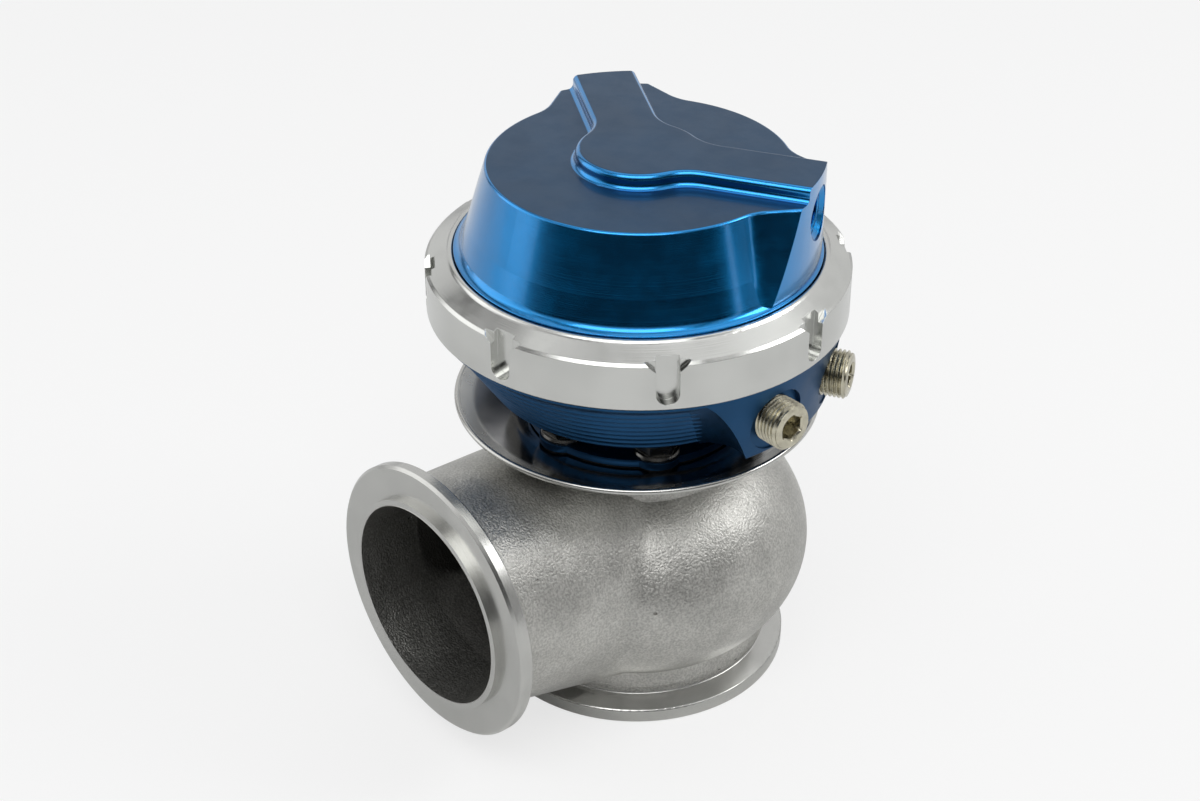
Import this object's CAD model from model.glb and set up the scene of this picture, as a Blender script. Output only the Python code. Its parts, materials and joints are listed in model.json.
"""External turbo wastegate: looks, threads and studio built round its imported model."""

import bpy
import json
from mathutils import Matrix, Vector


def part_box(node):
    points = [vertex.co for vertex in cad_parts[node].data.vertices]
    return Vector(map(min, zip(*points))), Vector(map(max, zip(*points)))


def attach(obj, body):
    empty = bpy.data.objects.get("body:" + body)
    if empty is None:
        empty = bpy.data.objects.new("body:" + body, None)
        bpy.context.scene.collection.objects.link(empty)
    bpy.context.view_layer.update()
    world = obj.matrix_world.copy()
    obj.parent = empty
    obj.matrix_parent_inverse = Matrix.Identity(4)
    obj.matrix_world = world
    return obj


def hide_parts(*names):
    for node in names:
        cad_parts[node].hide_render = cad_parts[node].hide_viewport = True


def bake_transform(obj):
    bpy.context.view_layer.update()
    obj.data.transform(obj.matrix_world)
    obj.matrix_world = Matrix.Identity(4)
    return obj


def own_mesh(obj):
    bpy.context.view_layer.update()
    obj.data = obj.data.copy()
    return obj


bl_info = {
    "name": "Turbo Wastegate",
    "version": (1, 0, 0),
    "blender": (4, 5, 0),
    "location": "View3D > Sidebar > Wastegate",
    "description": "Dresses an external wastegate in cast, turned and anodised finishes and lights it",
    "category": "Object",
}

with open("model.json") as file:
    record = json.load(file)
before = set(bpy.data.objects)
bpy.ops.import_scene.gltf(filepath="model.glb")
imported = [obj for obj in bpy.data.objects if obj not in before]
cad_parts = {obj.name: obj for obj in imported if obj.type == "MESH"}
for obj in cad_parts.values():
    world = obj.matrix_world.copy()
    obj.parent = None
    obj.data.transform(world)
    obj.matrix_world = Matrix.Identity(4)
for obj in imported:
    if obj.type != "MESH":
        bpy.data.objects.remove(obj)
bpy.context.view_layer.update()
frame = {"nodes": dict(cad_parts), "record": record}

import json
import math

import bmesh
import bpy
from bpy.props import FloatProperty, FloatVectorProperty, IntProperty, PointerProperty
from mathutils import Matrix, Vector

MOUNTS = {mount["name"]: mount for mount in frame["record"]["mounts"]}

# Places on the casting, in metres
BODY_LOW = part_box("valve_body")[0]
OUTLET_AXIS_Z = MOUNTS["outlet_bore"]["pos_m"][2]
OUTLET_BORE_R = MOUNTS["outlet_bore"]["dims"]["r_mm"] / 1000
OUTLET_FLANGE_BACK_Y = -0.0549
OUTLET_THROAT_START_Y = -0.024
OUTLET_THROAT_END_Y = -0.020
INLET_FLANGE_TOP_Z = 0.0049
PAD_Z = 0.0599
PAD_R = 0.024
SEAT_BORE_R = 0.0277
SEAT_BORE_TOP_Z = 0.0115
BULB_MID_Z = 0.0289
BULB_INNER_R = 0.037
BULB_INNER_HALF_HEIGHT = 0.0273

# Dish: its lip, and the rolled rim that the bead follows
SHIELD_LIP_R = 0.0363
SHIELD_RIM_R = 0.0393
SHIELD_RIM_Z = 0.0662
SHIELD_ROLL_R = 0.00062
BEAD_R = 1.04 * SHIELD_ROLL_R
BEAD_SIDES = 24
BEAD_COLUMNS = 240

# Pipe plugs, with the angle of each round the stem
PLUG_LOW, PLUG_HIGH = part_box("port_plug_front")
PLUGS = (("plug_front", "port_plug_front", 0.0), ("plug_side", "port_plug_side", 30.0))
PLUG_CHAMFER = 0.0008
PLUG_THREAD_LENGTH = 0.0075
PLUG_EDGE = 0.0004
SOCKET_FLATS = 0.0050
SOCKET_DEPTH = 0.0042
SOCKET_LEAD = 0.00025
SOCKET_CENTRE_R = 0.0006

# Threaded ports in the cap's arms, with the angle of each round the stem
CAP_PORTS = (("port_thread_right", 30.0), ("port_thread_left", 150.0))
CAP_PORT_Z = MOUNTS["cap_port_right"]["pos_m"][2]
CAP_PORT_MOUTH = 0.03690
CAP_PORT_WALL_R = 0.00488
CAP_PORT_ROOT_R = 0.00485
CAP_PORT_LENGTH = 0.0073
CAP_PORT_CREST = 0.8

# Share of the pitch that is flat on either side of a thread's root and crest
THREAD_FLAT = 0.06

# Colours of the parts that are hardly seen, and of the darker places on others
PORE_TINT = (0.12, 0.115, 0.10)
HOLLOW_TINT = (0.10, 0.098, 0.09)
DISH_WELL_TINT = (0.26, 0.26, 0.265)
VALVE_TINT = (0.56, 0.55, 0.53)
BRONZE_TINT = (0.60, 0.43, 0.20)
SNAP_RING_TINT = (0.16, 0.16, 0.165)
GASKET_TINT = (0.13, 0.13, 0.13)
FASTENER_TINT = (0.15, 0.148, 0.14)
DIAPHRAGM_TINT = (0.06, 0.045, 0.035)
SEAL_TINT = (0.02, 0.02, 0.02)
PISTON_TINT = (0.74, 0.74, 0.73)
SPRING_TINT = (0.12, 0.12, 0.125)

# Range that most of a noise lies in
NOISE_LOW = 0.3
NOISE_HIGH = 0.7

# Camera of the photograph
CAMERA_PLACE = (0.29138, -0.26251, 0.31326)
CAMERA_RIGHT = (0.6540, 0.7566, 0.0)
CAMERA_UP = (-0.4075, 0.3522, 0.8427)
CAMERA_BACK = (0.6375, -0.5510, 0.5386)
CAMERA_LENS = 63.44
CAMERA_SENSOR = 36.0
CAMERA_NEAR = 0.01

# Floor: its share of plain white as it is seen, and how much of that share reflections get
FLOOR_HALF = 3.0
FLOOR_GAP = 0.0002
FLOOR_COLOUR = (0.82, 0.82, 0.81, 1)
FLOOR_WHITE = 0.72
FLOOR_IN_REFLECTIONS = 0.05

# Room: its light, the backdrop as it is seen and as metal mirrors it, and two dark seams in it
ROOM_LIGHT = (0.96, 0.97, 1.0, 1)
ROOM_LIGHT_LEVEL = 0.38
BACKDROP_SEEN = (0.9, 0.9, 0.9, 1)
BACKDROP_MIRRORED = (0.8, 0.8, 0.8, 1)
SEAM_BEARINGS = (5.0, 62.0)
SEAM_LEVEL = 0.2

# Soft boxes: bearing in degrees, height, distance, width and height of the face, brightness of the face
LAMP_AIM = (0, 0, 0.07)
LAMPS = (("softbox_left", -135.0, 0.40, 0.80, 0.75, 0.80, 0.80),
         ("softbox_top", 110.0, 1.00, 0.30, 1.10, 0.90, 0.50),
         ("softbox_front", -50.0, 0.95, 0.55, 0.90, 0.55, 2.50),
         ("softbox_back", 52.0, 0.75, 0.80, 0.50, 0.40, 4.60),
         ("strip_right", 20.0, 0.20, 0.80, 0.05, 0.70, 1.2))


# Sizes and colours that a user may change

class WastegateFinishes(bpy.types.PropertyGroup):
    cast_colour: FloatVectorProperty(
        name="Casting", description="Colour of the rough cast body", subtype="COLOR", size=3,
        min=0, max=1, default=(0.50, 0.495, 0.47))
    machined_colour: FloatVectorProperty(
        name="Machined steel", description="Colour of the turned flange faces and the dish", subtype="COLOR",
        size=3, min=0, max=1, default=(0.53, 0.53, 0.51))
    cap_colour: FloatVectorProperty(
        name="Cap", description="Blue of the cap's turned sides", subtype="COLOR", size=3, min=0, max=1,
        default=(0.001, 0.235, 0.60))
    cap_top_colour: FloatVectorProperty(
        name="Cap top", description="Slate blue of the cap's level faces", subtype="COLOR", size=3,
        min=0, max=1, default=(0.008, 0.052, 0.120))
    base_colour: FloatVectorProperty(
        name="Base", description="Darker blue of the ridged actuator base", subtype="COLOR", size=3,
        min=0, max=1, default=(0.012, 0.066, 0.16))
    collar_colour: FloatVectorProperty(
        name="Collar", description="Clear anodised aluminium of the locking collar", subtype="COLOR", size=3,
        min=0, max=1, default=(0.60, 0.605, 0.585))
    plug_colour: FloatVectorProperty(
        name="Plugs", description="Warm nickel of the pipe plugs", subtype="COLOR", size=3, min=0, max=1,
        default=(0.56, 0.53, 0.42))
    grain_size: FloatProperty(
        name="Casting grain", description="Width of one grain of the cast surface", subtype="DISTANCE",
        unit="LENGTH", min=0.0001, max=0.005, default=0.00048, precision=5)
    grain_depth: FloatProperty(
        name="Grain depth", description="Height of the cast surface's grain", subtype="DISTANCE",
        unit="LENGTH", min=0.0, max=0.001, default=0.00014, precision=6)


class WastegateThreads(bpy.types.PropertyGroup):
    pitch: FloatProperty(
        name="Pitch", description="Distance between crests of the plug and port threads", subtype="DISTANCE",
        unit="LENGTH", min=0.0003, max=0.003, default=0.00094, precision=5)
    depth: FloatProperty(
        name="Depth", description="Height of a thread from root to crest", subtype="DISTANCE",
        unit="LENGTH", min=0.0001, max=0.002, default=0.00052, precision=5)
    columns: IntProperty(
        name="Columns", description="Points round one turn of a thread", min=24, max=240, default=96)


# Meshes

def mesh_piece(name, points, faces, body, slot, smooth_angle):
    """A piece from points and faces that rides on a body and takes its finish from a slot."""
    mesh = bpy.data.meshes.new(name)
    mesh.from_pydata([tuple(point) for point in points], [], faces)
    work = bmesh.new()
    work.from_mesh(mesh)
    bmesh.ops.remove_doubles(work, verts=work.verts, dist=1e-7)
    bmesh.ops.dissolve_degenerate(work, edges=work.edges, dist=1e-7)
    bmesh.ops.recalc_face_normals(work, faces=work.faces)
    work.to_mesh(mesh)
    work.free()
    mesh.shade_smooth()
    mesh.set_sharp_from_angle(angle=math.radians(smooth_angle))
    piece = bpy.data.objects.new(name, mesh)
    bpy.context.scene.collection.objects.link(piece)
    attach(piece, body)
    return piece


def flexing(name, node):
    """A piece with the shape of an inner part that bends or shortens as the valve lifts."""
    part = frame["nodes"][node]
    mesh = part.data.copy()
    mesh.transform(part.matrix_world)
    piece = bpy.data.objects.new(name, mesh)
    bpy.context.scene.collection.objects.link(piece)
    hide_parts(node)
    return piece


def frame_of(axis):
    """Unit vectors along and across an axis."""
    up = Vector(axis).normalized()
    level = Vector((0, 0, 1)) if abs(up.z) < 0.9 else Vector((0, 1, 0))
    side = level.cross(up).normalized()
    return up, side, up.cross(side)


def outward(angle, distance, height):
    """Level axis at an angle in degrees round the stem, and the point at that distance and height on it."""
    turn = math.radians(angle)
    axis = Vector((math.cos(turn), math.sin(turn), 0))
    return axis, axis * distance + Vector((0, 0, height))


def lathe(rows, columns, origin, axis, closed):
    """Points and faces from rows of (height, radius function of the turn); closed names the filled ends."""
    up, side, other = frame_of(axis)
    points = []
    for height, radius_at in rows:
        for column in range(columns):
            turn = 2 * math.pi * column / columns
            out = side * math.cos(turn) + other * math.sin(turn)
            points.append(Vector(origin) + up * height + out * radius_at(turn))
    faces = []
    for row in range(len(rows) - 1):
        for column in range(columns):
            nxt = (column + 1) % columns
            low = row * columns
            faces.append((low + column, low + nxt, low + columns + nxt, low + columns + column))
    if "low" in closed:
        faces.append(tuple(range(columns)))
    if "high" in closed:
        faces.append(tuple((len(rows) - 1) * columns + column for column in range(columns)))
    return points, faces


def even(radius):
    """Radius function of a circle."""
    return lambda turn: radius


def hexagon(across_flats):
    """Radius function of a hexagon with that width across its flats."""
    sector = math.pi / 3
    return lambda turn: 0.5 * across_flats / math.cos((turn + sector / 2) % sector - sector / 2)


def helix(low, high, pitch, columns, reach, origin, axis):
    """Points and faces of a thread between two heights, with its crests as edges.

    reach gives the radius from the share of the pitch and the height.
    """
    up, side, other = frame_of(axis)
    shares = (0.0, THREAD_FLAT, 0.25, 0.5 - THREAD_FLAT, 0.5, 0.5 + THREAD_FLAT, 0.75, 1.0 - THREAD_FLAT)
    rows = (math.ceil((high - low) / pitch) + 1) * len(shares)
    points = []
    for row in range(rows + 1):
        share = shares[row % len(shares)]
        start = low + (row // len(shares) - 1 + share) * pitch
        for column in range(columns):
            turn = 2 * math.pi * column / columns
            height = start + pitch * column / columns
            clamped = min(max(height, low), high)
            radius = reach(share if clamped == height else 0.0, clamped)
            out = side * math.cos(turn) + other * math.sin(turn)
            points.append(Vector(origin) + up * clamped + out * radius)
    faces = []
    for row in range(rows):
        for column in range(columns):
            first = row * columns + column
            if column + 1 < columns:
                faces.append((first, first + 1, first + columns + 1, first + columns))
            elif row + len(shares) + 1 <= rows:
                across = (row + len(shares)) * columns
                faces.append((first, across, across + columns, first + columns))
    return points, faces


def vee(root, crest):
    """Radius across one pitch of a vee thread with narrow flats at root and crest."""
    def at(share, height):
        from_crest = abs(share - 0.5)
        rise = (0.5 - THREAD_FLAT - from_crest) / (0.5 - 2 * THREAD_FLAT)
        return root + (crest(height) - root) * min(max(rise, 0.0), 1.0)
    return at


def joined(*parts):
    """One list of points and faces from several."""
    points = []
    faces = []
    for part_points, part_faces in parts:
        start = len(points)
        points += part_points
        faces += [tuple(start + corner for corner in face) for face in part_faces]
    return points, faces


# Node trees

class NodeTree:
    """Short calls for the nodes that the finishes and the studio share."""

    def __init__(self, tree):
        self.nodes = tree.nodes
        self.links = tree.links

    def node(self, kind, settings=None, **inputs):
        node = self.nodes.new(kind)
        for key, value in (settings or {}).items():
            setattr(node, key, value)
        for key, value in inputs.items():
            self.put(node.inputs[key.replace("_", " ")], value)
        return node

    def put(self, socket, value):
        """Link or set a socket; a colour may come with or without its alpha."""
        if isinstance(value, bpy.types.NodeSocket):
            self.links.new(value, socket)
        elif socket.type == "RGBA":
            socket.default_value = (*tuple(value)[:3], 1.0)
        else:
            socket.default_value = value

    def calc(self, operation, *values):
        node = self.node("ShaderNodeMath", {"operation": operation})
        for socket, value in zip(node.inputs, values):
            self.put(socket, value)
        return node.outputs[0]

    def step(self, value, low, high, start=0.0, end=1.0):
        """Smooth step from start to end as the value goes from low to high."""
        node = self.node("ShaderNodeMapRange", {"interpolation_type": "SMOOTHSTEP"})
        for name, part in (("Value", value), ("From Min", low), ("From Max", high), ("To Min", start),
                           ("To Max", end)):
            self.put(node.inputs[name], part)
        return node.outputs["Result"]

    def part_of(self, vector):
        """The three parts of a vector."""
        return self.node("ShaderNodeSeparateXYZ", Vector=vector).outputs

    def along(self, direction, vector):
        """How far a direction points along a fixed vector."""
        node = self.node("ShaderNodeVectorMath", {"operation": "DOT_PRODUCT"})
        self.put(node.inputs[0], direction)
        self.put(node.inputs[1], vector)
        return node.outputs["Value"]

    def mixed(self, factor, first, second):
        """Shader between two, by the factor."""
        node = self.node("ShaderNodeMixShader")
        for socket, part in zip(node.inputs, (factor, first, second)):
            self.put(socket, part)
        return node.outputs[0]

    def seen(self, reflected):
        """1 for camera and transmission rays, that level for reflections, 0 for the light rays carry on."""
        rays = self.node("ShaderNodeLightPath").outputs
        glossy = self.calc("MULTIPLY", rays["Is Glossy Ray"], reflected)
        clear = self.calc("MAXIMUM", rays["Is Camera Ray"], rays["Is Transmission Ray"])
        return self.calc("MAXIMUM", clear, glossy)


class Finish(NodeTree):
    """A procedural metal, rubber or fibre whose patterns lie in the object's own space."""

    def __init__(self, name, colour, metallic, roughness):
        self.material = bpy.data.materials.new(name)
        self.material.use_nodes = True
        super().__init__(self.material.node_tree)
        self.shader = self.nodes["Principled BSDF"]
        self.put(self.shader.inputs["Base Color"], colour)
        self.shader.inputs["Metallic"].default_value = metallic
        self.shader.inputs["Roughness"].default_value = roughness
        self.material.diffuse_color = (*tuple(colour)[:3], 1.0)
        self.place = self.node("ShaderNodeTexCoord").outputs["Object"]
        self.x, self.y, self.z = self.part_of(self.place)

    def noise(self, size, detail=2.0, roughness=0.5):
        """Noise between 0 and 1 with features of that size in metres."""
        return self.node("ShaderNodeTexNoise", Vector=self.place, Scale=1.0 / size, Detail=detail,
                         Roughness=roughness).outputs["Fac"]

    def stripes(self, value, size):
        """Uneven fine lines across a length, as a lathe leaves them."""
        node = self.node("ShaderNodeTexNoise", {"noise_dimensions": "1D"}, Scale=1.0, Detail=2.0,
                         Roughness=0.6)
        self.put(node.inputs["W"], self.calc("MULTIPLY", value, 1.0 / size))
        return node.outputs["Fac"]

    def reach(self, across, along, centre=0.0):
        """Distance from an axis, from the two coordinates across it."""
        shifted = self.calc("SUBTRACT", along, centre) if centre else along
        square = self.calc("ADD", self.calc("POWER", across, 2.0), self.calc("POWER", shifted, 2.0))
        return self.calc("SQRT", square)

    def facing_up(self):
        """Upward part of the surface's normal."""
        return self.part_of(self.node("ShaderNodeNewGeometry").outputs["Normal"])[2]

    def mix(self, kind, factor, first, second):
        node = self.node("ShaderNodeMix", {"data_type": kind})
        sockets = [socket for socket in node.inputs if socket.enabled]
        for socket, part in zip(sockets, (factor, first, second)):
            self.put(socket, part)
        return [socket for socket in node.outputs if socket.enabled][0]

    def blend(self, factor, first, second):
        """Number between two, by the factor."""
        return self.mix("FLOAT", factor, first, second)

    def tint(self, factor, first, second):
        """Colour between two, by the factor."""
        return self.mix("RGBA", factor, first, second)

    def spread(self, noise, low, high):
        """Level between two, by a noise."""
        return self.step(noise, NOISE_LOW, NOISE_HIGH, low, high)

    def shade(self, colour, noise, low, high):
        """The colour made darker or lighter between two levels by a noise."""
        node = self.node("ShaderNodeHueSaturation", Value=self.spread(noise, low, high), Color=colour)
        return node.outputs[0]

    def wiped(self, low, high, size=0.006):
        """Roughness that wanders a little, as wiped and handled metal does."""
        return self.spread(self.noise(size, detail=4.0, roughness=0.6), low, high)

    def relief(self, height, distance, edge=0.0):
        """Bump with a real distance, over edges softened by a small radius."""
        node = self.node("ShaderNodeBump", Strength=1.0, Distance=distance, Height=height)
        if edge:
            soft = self.node("ShaderNodeBevel", {"samples": 4}, Radius=edge)
            self.put(node.inputs["Normal"], soft.outputs[0])
        return node.outputs[0]

    def coat(self, weight, roughness):
        """Clear layer over the metal, as sealed anodising has."""
        self.put(self.shader.inputs["Coat Weight"], weight)
        self.shader.inputs["Coat Roughness"].default_value = roughness

    def finish(self, colour, roughness, normal):
        """The material, with its patterns on the shader."""
        self.put(self.shader.inputs["Base Color"], colour)
        self.put(self.shader.inputs["Roughness"], roughness)
        self.put(self.shader.inputs["Normal"], normal)
        return self.material


def dress(material, *nodes):
    """Give solids their material."""
    for name in nodes:
        slots = frame["nodes"][name].data.materials
        slots.clear()
        slots.append(material)


# Finishes

def turned_places(look, from_stem, from_outlet):
    """1 on the flanges, the pad and the seat's bore, and the outlet flange's own part of that."""
    soft = 0.0002
    inlet = look.step(look.z, INLET_FLANGE_TOP_Z, INLET_FLANGE_TOP_Z - 0.5 * soft)
    outlet = look.calc("MULTIPLY",
                       look.step(look.y, OUTLET_FLANGE_BACK_Y, OUTLET_FLANGE_BACK_Y - 1.5 * soft),
                       look.step(from_outlet, OUTLET_BORE_R, OUTLET_BORE_R + soft))
    pad = look.calc("MULTIPLY", look.step(look.z, PAD_Z - soft, PAD_Z - 0.5 * soft),
                    look.step(from_stem, PAD_R + 2 * soft, PAD_R + soft))
    seat = look.calc("MULTIPLY", look.step(from_stem, SEAT_BORE_R, SEAT_BORE_R - soft),
                     look.step(look.z, SEAT_BORE_TOP_Z + soft, SEAT_BORE_TOP_Z))
    turned = look.calc("MAXIMUM", look.calc("MAXIMUM", inlet, outlet), look.calc("MAXIMUM", pad, seat))
    return turned, outlet


def hollow_places(look, from_stem, from_outlet):
    """1 in the outlet's bore and in the round chamber, whose walls have a darker skin."""
    soft = 0.0001
    bore = look.calc("MULTIPLY", look.step(from_outlet, OUTLET_BORE_R + soft, OUTLET_BORE_R - soft),
                     look.step(look.y, OUTLET_THROAT_END_Y, OUTLET_THROAT_START_Y))
    across = look.calc("DIVIDE", from_stem, BULB_INNER_R)
    rise = look.calc("DIVIDE", look.calc("SUBTRACT", look.z, BULB_MID_Z), BULB_INNER_HALF_HEIGHT)
    squares = look.calc("ADD", look.calc("POWER", across, 2.0), look.calc("POWER", rise, 2.0))
    return look.calc("MAXIMUM", bore, look.step(squares, 1.03, 0.99))


def cast_steel(settings):
    """Investment-cast body: pebbled and pitted, with turned flanges, faces and bores."""
    look = Finish("cast_steel", settings.cast_colour, 0.9, 0.42)
    from_stem = look.reach(look.x, look.y)
    from_outlet = look.reach(look.x, look.z, OUTLET_AXIS_Z)
    turned, outlet = turned_places(look, from_stem, from_outlet)

    wave_size = 0.0045
    pore_spacing = 0.0075
    pore_patch = 0.02
    line = 0.00022
    pebbles = look.noise(settings.grain_size, detail=2.0, roughness=0.45)
    waves = look.noise(wave_size, detail=2.0)
    pores = look.node("ShaderNodeTexVoronoi", Vector=look.place, Scale=1 / pore_spacing, Randomness=1.0)
    pore = look.step(pores.outputs["Distance"], 0.075, 0.035)
    pore = look.calc("MULTIPLY", pore, look.step(look.noise(pore_patch), 0.48, 0.56))
    height = look.calc("ADD", pebbles, look.calc("MULTIPLY", waves, 1.6))
    height = look.calc("SUBTRACT", height, look.calc("MULTIPLY", pore, 1.8))
    rings = look.stripes(look.blend(outlet, from_stem, from_outlet), line)
    lines = look.stripes(look.blend(outlet, look.z, look.y), line)
    marks = look.calc("MULTIPLY", look.calc("ADD", rings, lines), 0.03)
    height = look.blend(turned, height, marks)

    cloud = look.noise(0.013, detail=5.0, roughness=0.6)
    colour = look.shade(settings.cast_colour, cloud, 0.86, 1.12)
    colour = look.shade(colour, pebbles, 0.80, 1.16)
    colour = look.tint(pore, colour, PORE_TINT)
    colour = look.tint(hollow_places(look, from_stem, from_outlet), colour, HOLLOW_TINT)
    bright = look.shade(settings.machined_colour, look.noise(0.008, detail=4.0), 0.96, 1.04)
    colour = look.tint(turned, colour, bright)
    roughness = look.blend(turned, look.spread(pebbles, 0.36, 0.46), look.wiped(0.2, 0.27))
    return look.finish(colour, roughness, look.relief(height, settings.grain_depth))


def turned_metal(name, colour, roughness, line=0.0002, depth=0.000004, edge=0.0):
    """Metal turned about the stem: fine rings on level faces and round lines on walls."""
    look = Finish(name, colour, 1.0, roughness)
    rings = look.stripes(look.reach(look.x, look.y), line)
    lines = look.stripes(look.z, line)
    tone = look.shade(colour, look.noise(0.012, detail=3.0), 0.94, 1.05)
    rough = look.wiped(0.8 * roughness, 1.25 * roughness)
    return look.finish(tone, rough, look.relief(look.calc("ADD", rings, lines), depth, edge))


def dish_steel(settings):
    """Pressed dish: satin lip and underside, with a darker, glossier well inside the lip."""
    look = Finish("dish_steel", settings.machined_colour, 1.0, 0.2)
    from_stem = look.reach(look.x, look.y)
    inside = look.step(from_stem, SHIELD_LIP_R, SHIELD_LIP_R - 0.0012)
    well = look.calc("MULTIPLY", look.step(look.facing_up(), 0.0, 0.3), inside)
    colour = look.tint(well, settings.machined_colour, DISH_WELL_TINT)
    colour = look.shade(colour, look.noise(0.012, detail=3.0), 0.94, 1.05)
    roughness = look.blend(well, look.wiped(0.2, 0.28), look.wiped(0.14, 0.19))
    return look.finish(colour, roughness, look.relief(look.stripes(from_stem, 0.0005), 0.000003))


def anodised_cap(settings):
    """Dyed anodised cap: satin slate on level faces, deep clear blue on turned sides."""
    look = Finish("anodised_cap", settings.cap_colour, 1.0, 0.24)
    level = look.step(look.facing_up(), 0.93, 0.99)
    look.coat(look.blend(level, 0.9, 0.35), 0.12)
    height = look.blend(level, look.stripes(look.z, 0.00018), look.noise(0.00022, detail=2.0))
    colour = look.tint(level, settings.cap_colour, settings.cap_top_colour)
    colour = look.shade(colour, look.noise(0.015, detail=4.0), 0.92, 1.07)
    roughness = look.blend(level, look.wiped(0.18, 0.23), look.wiped(0.36, 0.46))
    return look.finish(colour, roughness, look.relief(height, 0.000006, 0.0002))


def anodised_base(settings):
    """Flatter, darker blue of the base, with lathe lines and a fine matt grain."""
    look = Finish("anodised_base", settings.base_colour, 1.0, 0.36)
    look.coat(0.12, 0.4)
    lines = look.stripes(look.z, 0.00025)
    grain = look.noise(0.00025, detail=2.0)
    height = look.calc("ADD", look.calc("MULTIPLY", lines, 0.7), grain)
    colour = look.shade(settings.base_colour, look.noise(0.012, detail=4.0), 0.88, 1.12)
    return look.finish(colour, look.wiped(0.4, 0.48), look.relief(height, 0.000008, 0.00015))


def plated_plug(settings):
    """Nickel plate, a little yellow, darker and lighter in small patches."""
    look = Finish("plated_plug", settings.plug_colour, 1.0, 0.22)
    colour = look.shade(settings.plug_colour, look.noise(0.0022, detail=4.0), 0.82, 1.1)
    height = look.noise(0.0003, detail=2.0)
    return look.finish(colour, look.wiped(0.16, 0.3, 0.0015), look.relief(height, 0.000008, 0.0001))


def coated(name, colour, roughness, size, depth, metallic=0.0):
    """Plain matt material with its own fine grain, for rubber, fibre and oiled wire."""
    look = Finish(name, colour, metallic, roughness)
    grain = look.noise(size, detail=4.0, roughness=0.6)
    tone = look.shade(colour, look.noise(0.006, detail=3.0), 0.85, 1.15)
    rough = look.spread(grain, 0.85 * roughness, min(1.0, 1.1 * roughness))
    return look.finish(tone, rough, look.relief(grain, depth, 0.0001))


# Pieces of the object

class WASTEGATE_OT_casting(bpy.types.Operator):
    """Give the cast body its pebbled skin and turned flanges, and the seat its ground face"""
    bl_idname = "wastegate.casting"
    bl_label = "Casting and Seat"

    def execute(self, context):
        settings = context.scene.wastegate_finishes
        dress(cast_steel(settings), "valve_body")
        dress(turned_metal("seat_steel", settings.machined_colour, 0.24), "seat_ring")
        dress(turned_metal("valve_steel", VALVE_TINT, 0.26), "valve")
        dress(turned_metal("guide_bronze", BRONZE_TINT, 0.3), "valve_guide")
        clip = coated("snap_ring_steel", SNAP_RING_TINT, 0.36, 0.0006, 0.00002, 1.0)
        dress(clip, "seat_clip", "seal_clip")
        return {"FINISHED"}


class WASTEGATE_OT_shield(bpy.types.Operator):
    """Give the heat shield dish its pressed satin sheet, and the foot its gasket, studs and nuts"""
    bl_idname = "wastegate.shield"
    bl_label = "Heat Shield and Fasteners"

    def execute(self, context):
        finish = dish_steel(context.scene.wastegate_finishes)
        dress(finish, "heat_shield")
        rows = []
        for side in range(BEAD_SIDES + 1):
            turn = 2 * math.pi * side / BEAD_SIDES
            rows.append((BEAD_R * math.sin(turn), even(SHIELD_RIM_R + BEAD_R * math.cos(turn))))
        bead = lathe(rows, BEAD_COLUMNS, (0, 0, SHIELD_RIM_Z - SHIELD_ROLL_R), (0, 0, 1), "")
        piece = mesh_piece("shield_bead", *bead, "housing", "shield_steel", 60.0)
        piece.data.materials.append(finish)
        dress(coated("gasket_fibre", GASKET_TINT, 0.8, 0.0004, 0.00003), "foot_gasket")
        dress(turned_metal("fastener_steel", FASTENER_TINT, 0.24, edge=0.00015),
              "foot_studs", "foot_nuts", "piston_washer", "stem_nut")
        return {"FINISHED"}


class WASTEGATE_OT_base(bpy.types.Operator):
    """Give the ridged actuator base its dark blue anodising"""
    bl_idname = "wastegate.base"
    bl_label = "Actuator Base"

    def execute(self, context):
        dress(anodised_base(context.scene.wastegate_finishes), "actuator_base")
        return {"FINISHED"}


class WASTEGATE_OT_plugs(bpy.types.Operator):
    """Cut the two pipe plugs with their chamfered threads and hex sockets"""
    bl_idname = "wastegate.plugs"
    bl_label = "Port Plugs"

    def execute(self, context):
        thread = context.scene.wastegate_threads
        finish = plated_plug(context.scene.wastegate_finishes)
        crest_r = 0.5 * (PLUG_HIGH.z - PLUG_LOW.z)
        root_r = crest_r - thread.depth
        face_r = crest_r - PLUG_CHAMFER
        corner_r = 0.5 * SOCKET_FLATS / math.cos(math.pi / 6)
        end = PLUG_LOW.x - PLUG_HIGH.x
        low = -PLUG_THREAD_LENGTH
        high = -0.25 * PLUG_CHAMFER

        def crest(height):
            return max(root_r, min(crest_r, face_r - height))

        shank_rows = [(end, even(root_r - PLUG_EDGE)), (end + PLUG_EDGE, even(root_r)), (low, even(root_r))]
        head_rows = [(high, even(root_r)), (high, even(face_r - 0.25 * PLUG_EDGE)),
                     (0.0, even(face_r - PLUG_EDGE)), (0.0, even(corner_r + SOCKET_LEAD)),
                     (-PLUG_EDGE, hexagon(SOCKET_FLATS)), (-SOCKET_DEPTH, hexagon(SOCKET_FLATS)),
                     (-SOCKET_DEPTH - 2 * PLUG_EDGE, even(SOCKET_CENTRE_R))]
        for name, node, angle in PLUGS:
            axis, origin = outward(angle, PLUG_HIGH.x, 0.5 * (PLUG_HIGH.z + PLUG_LOW.z))
            turns = helix(low, high, thread.pitch, thread.columns, vee(root_r, crest), origin, axis)
            shank = lathe(shank_rows, thread.columns, origin, axis, "low")
            head = lathe(head_rows, thread.columns, origin, axis, "high")
            piece = mesh_piece(name, *joined(turns, shank, head), "housing", "plug_nickel", 40.0)
            piece.data.materials.append(finish)
            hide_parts(node)
        return {"FINISHED"}


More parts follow.
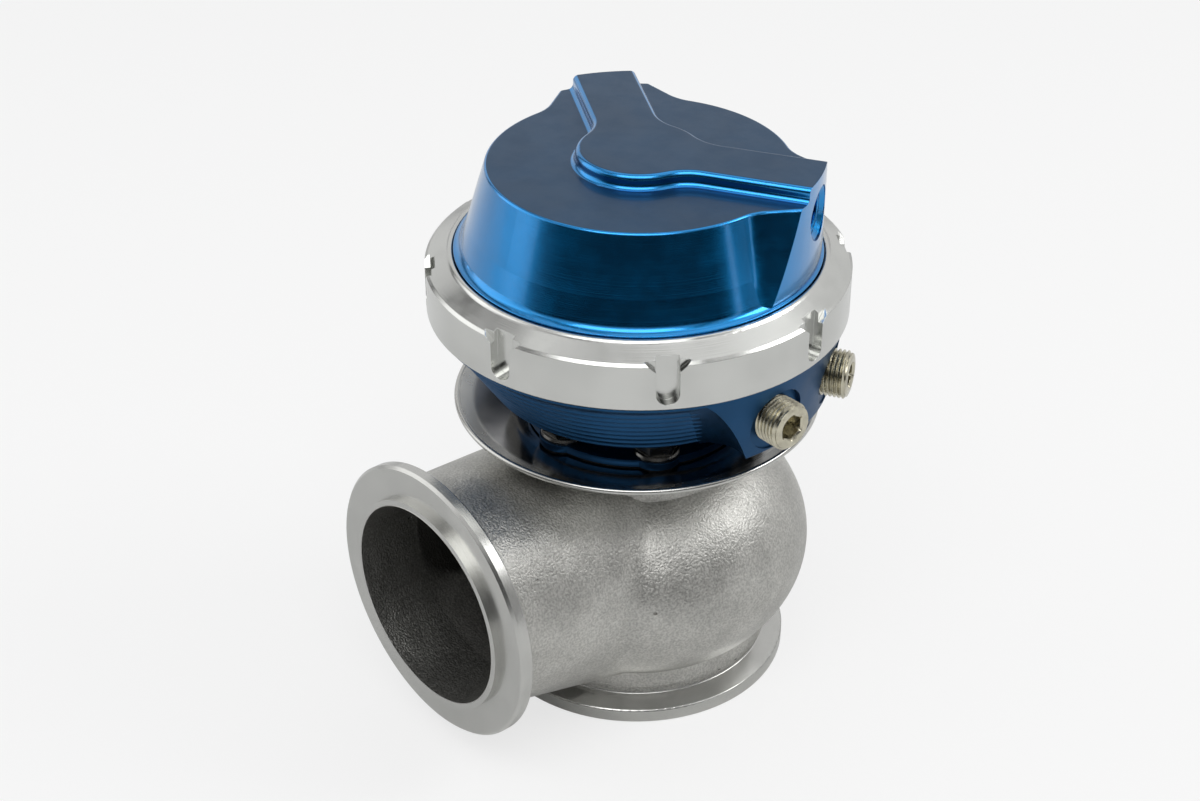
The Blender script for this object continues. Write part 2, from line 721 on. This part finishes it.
class WASTEGATE_OT_cap(bpy.types.Operator):
    """Give the cap its blue anodising and cut the threads of its two ports"""
    bl_idname = "wastegate.cap"
    bl_label = "Actuator Cap"

    def execute(self, context):
        finish = anodised_cap(context.scene.wastegate_finishes)
        dress(finish, "actuator_cap")
        thread = context.scene.wastegate_threads

        def crest(height):
            return CAP_PORT_ROOT_R - CAP_PORT_CREST * thread.depth

        sleeve_rows = [(0.0, even(CAP_PORT_ROOT_R)), (0.0, even(CAP_PORT_WALL_R)),
                       (-CAP_PORT_LENGTH, even(CAP_PORT_WALL_R)), (-CAP_PORT_LENGTH, even(CAP_PORT_ROOT_R))]
        for name, angle in CAP_PORTS:
            axis, origin = outward(angle, CAP_PORT_MOUTH, CAP_PORT_Z)
            turns = helix(-CAP_PORT_LENGTH, 0.0, thread.pitch, thread.columns, vee(CAP_PORT_ROOT_R, crest),
                          origin, axis)
            sleeve = lathe(sleeve_rows, thread.columns, origin, axis, "")
            piece = mesh_piece(name, *joined(turns, sleeve), "cap", "cap_blue", 40.0)
            piece.data.materials.append(finish)
        return {"FINISHED"}


class WASTEGATE_OT_collar(bpy.types.Operator):
    """Give the locking collar its clear anodised, finely turned surface"""
    bl_idname = "wastegate.collar"
    bl_label = "Locking Collar"

    def execute(self, context):
        colour = context.scene.wastegate_finishes.collar_colour
        dress(turned_metal("collar_aluminium", colour, 0.2, line=0.00025, depth=0.000005, edge=0.0002),
              "locking_collar")
        return {"FINISHED"}


class WASTEGATE_OT_inner(bpy.types.Operator):
    """Finish the parts inside the actuator, and let the springs and the diaphragm follow the valve"""
    bl_idname = "wastegate.inner"
    bl_label = "Inner Parts"

    def execute(self, context):
        dress(coated("diaphragm_rubber", DIAPHRAGM_TINT, 0.6, 0.0005, 0.00005), "diaphragm")
        dress(coated("seal_rubber", SEAL_TINT, 0.5, 0.0004, 0.00003), "stem_seal")
        dress(turned_metal("piston_aluminium", PISTON_TINT, 0.28), "piston", "diaphragm_retainer")
        wire = coated("spring_wire", SPRING_TINT, 0.34, 0.0008, 0.00002, 1.0)
        dress(wire, "spring_outer", "spring_inner")
        for name, node in (("outer_spring", "spring_outer"), ("inner_spring", "spring_inner")):
            piece = flexing(name, node)
            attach(piece, "cap")
            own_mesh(piece)
        piece = flexing("rolling_diaphragm", "diaphragm")
        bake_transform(piece)
        return {"FINISHED"}


# Studio

def floor():
    """Pale plain floor just under the object."""
    mesh = bpy.data.meshes.new("studio_floor")
    corners = ((-1, -1), (1, -1), (1, 1), (-1, 1))
    height = BODY_LOW.z - FLOOR_GAP
    mesh.from_pydata([(FLOOR_HALF * x, FLOOR_HALF * y, height) for x, y in corners], [], [(0, 1, 2, 3)])
    plane = bpy.data.objects.new("studio_floor", mesh)
    bpy.context.scene.collection.objects.link(plane)
    material = bpy.data.materials.new("studio_floor")
    material.use_nodes = True
    tree = NodeTree(material.node_tree)
    shader = tree.nodes["Principled BSDF"]
    shader.inputs["Base Color"].default_value = FLOOR_COLOUR
    shader.inputs["Roughness"].default_value = 0.9
    shader.inputs["Specular IOR Level"].default_value = 0.1
    white = tree.node("ShaderNodeEmission").outputs[0]
    share = tree.calc("MULTIPLY", tree.seen(FLOOR_IN_REFLECTIONS), FLOOR_WHITE)
    tree.put(tree.nodes["Material Output"].inputs["Surface"], tree.mixed(share, shader.outputs[0], white))
    mesh.materials.append(material)


def mirrored_room(tree):
    """Brightness of the room in reflections: dark behind the camera, bright before it and overhead."""
    direction = tree.node("ShaderNodeTexCoord").outputs["Generated"]
    height = tree.part_of(direction)[2]
    front = Vector((CAMERA_BACK[0], CAMERA_BACK[1], 0)).normalized()
    level = tree.step(tree.along(direction, front), -0.35, 0.62, 1.0, 0.025)
    level = tree.calc("MULTIPLY", level, tree.step(height, 0.55, 0.95, 1.0, 0.6))
    level = tree.calc("MAXIMUM", level, tree.step(height, 0.30, 0.60, 0.0, 0.85))
    for bearing in SEAM_BEARINGS:
        turn = math.radians(bearing + 90.0)
        away = tree.calc("ABSOLUTE", tree.along(direction, (math.cos(turn), math.sin(turn), 0)))
        level = tree.calc("MULTIPLY", level, tree.step(away, 0.05, 0.09, SEAM_LEVEL, 1.0))
    return level


def room():
    """World that lights the object softly, with its own brightness where it is seen or mirrored."""
    world = bpy.data.worlds.new("studio")
    bpy.context.scene.world = world
    world.use_nodes = True
    tree = NodeTree(world.node_tree)
    light = tree.nodes["Background"]
    light.inputs["Color"].default_value = ROOM_LIGHT
    light.inputs["Strength"].default_value = ROOM_LIGHT_LEVEL
    white = tree.node("ShaderNodeBackground", Color=BACKDROP_SEEN)
    mirrored = tree.node("ShaderNodeBackground", Color=BACKDROP_MIRRORED, Strength=mirrored_room(tree))
    glossy = tree.node("ShaderNodeLightPath").outputs["Is Glossy Ray"]
    surface = tree.mixed(glossy, light.outputs[0], mirrored.outputs[0])
    surface = tree.mixed(tree.seen(0.0), surface, white.outputs[0])
    tree.put(tree.nodes["World Output"].inputs["Surface"], surface)


def lamps():
    """Soft boxes set by the brightness of their faces, aimed at the object."""
    for name, bearing, height, distance, wide, tall, glow in LAMPS:
        place = outward(bearing, distance, height)[1]
        lamp = bpy.data.lights.new(name, "AREA")
        lamp.shape = "RECTANGLE"
        lamp.size = wide
        lamp.size_y = tall
        lamp.energy = glow * math.pi * wide * tall
        holder = bpy.data.objects.new(name, lamp)
        bpy.context.scene.collection.objects.link(holder)
        aim = (Vector(LAMP_AIM) - place).to_track_quat("-Z", "Y").to_matrix().to_4x4()
        holder.matrix_world = Matrix.Translation(place) @ aim


def camera():
    """Camera at the photograph's place and lens."""
    lens = bpy.data.cameras.new("photo_camera")
    lens.sensor_fit = "HORIZONTAL"
    lens.sensor_width = CAMERA_SENSOR
    lens.lens = CAMERA_LENS
    lens.clip_start = CAMERA_NEAR
    holder = bpy.data.objects.new("photo_camera", lens)
    bpy.context.scene.collection.objects.link(holder)
    turn = Matrix((CAMERA_RIGHT, CAMERA_UP, CAMERA_BACK)).transposed().to_4x4()
    holder.matrix_world = Matrix.Translation(CAMERA_PLACE) @ turn
    bpy.context.scene.camera = holder


class WASTEGATE_OT_studio(bpy.types.Operator):
    """Set up the pale floor, the room, the studio lamps and the camera"""
    bl_idname = "wastegate.studio"
    bl_label = "Studio"

    def execute(self, context):
        floor()
        room()
        lamps()
        camera()
        context.scene.view_settings.view_transform = "Standard"
        return {"FINISHED"}


class WASTEGATE_PT_panel(bpy.types.Panel):
    """Sidebar list of the wastegate's finishes and steps"""
    bl_idname = "WASTEGATE_PT_panel"
    bl_label = "Turbo Wastegate"
    bl_space_type = "VIEW_3D"
    bl_region_type = "UI"
    bl_category = "Wastegate"

    def draw(self, context):
        layout = self.layout
        for group in (context.scene.wastegate_finishes, context.scene.wastegate_threads):
            for name in group.__annotations__:
                layout.prop(group, name)
        for step in STEPS:
            layout.operator(step.bl_idname)


STEPS = (WASTEGATE_OT_casting, WASTEGATE_OT_shield, WASTEGATE_OT_base, WASTEGATE_OT_plugs, WASTEGATE_OT_cap,
         WASTEGATE_OT_collar, WASTEGATE_OT_inner, WASTEGATE_OT_studio)
CLASSES = (WastegateFinishes, WastegateThreads, *STEPS, WASTEGATE_PT_panel)


def register():
    for cls in CLASSES:
        bpy.utils.register_class(cls)
    bpy.types.Scene.wastegate_finishes = PointerProperty(type=WastegateFinishes)
    bpy.types.Scene.wastegate_threads = PointerProperty(type=WastegateThreads)


def unregister():
    del bpy.types.Scene.wastegate_threads
    del bpy.types.Scene.wastegate_finishes
    for cls in reversed(CLASSES):
        bpy.utils.unregister_class(cls)


def main():
    register()
    bpy.ops.wastegate.casting()
    bpy.ops.wastegate.shield()
    bpy.ops.wastegate.base()
    bpy.ops.wastegate.plugs()
    bpy.ops.wastegate.cap()
    bpy.ops.wastegate.collar()
    bpy.ops.wastegate.inner()
    bpy.ops.wastegate.studio()


if __name__ == "__main__":
    main()
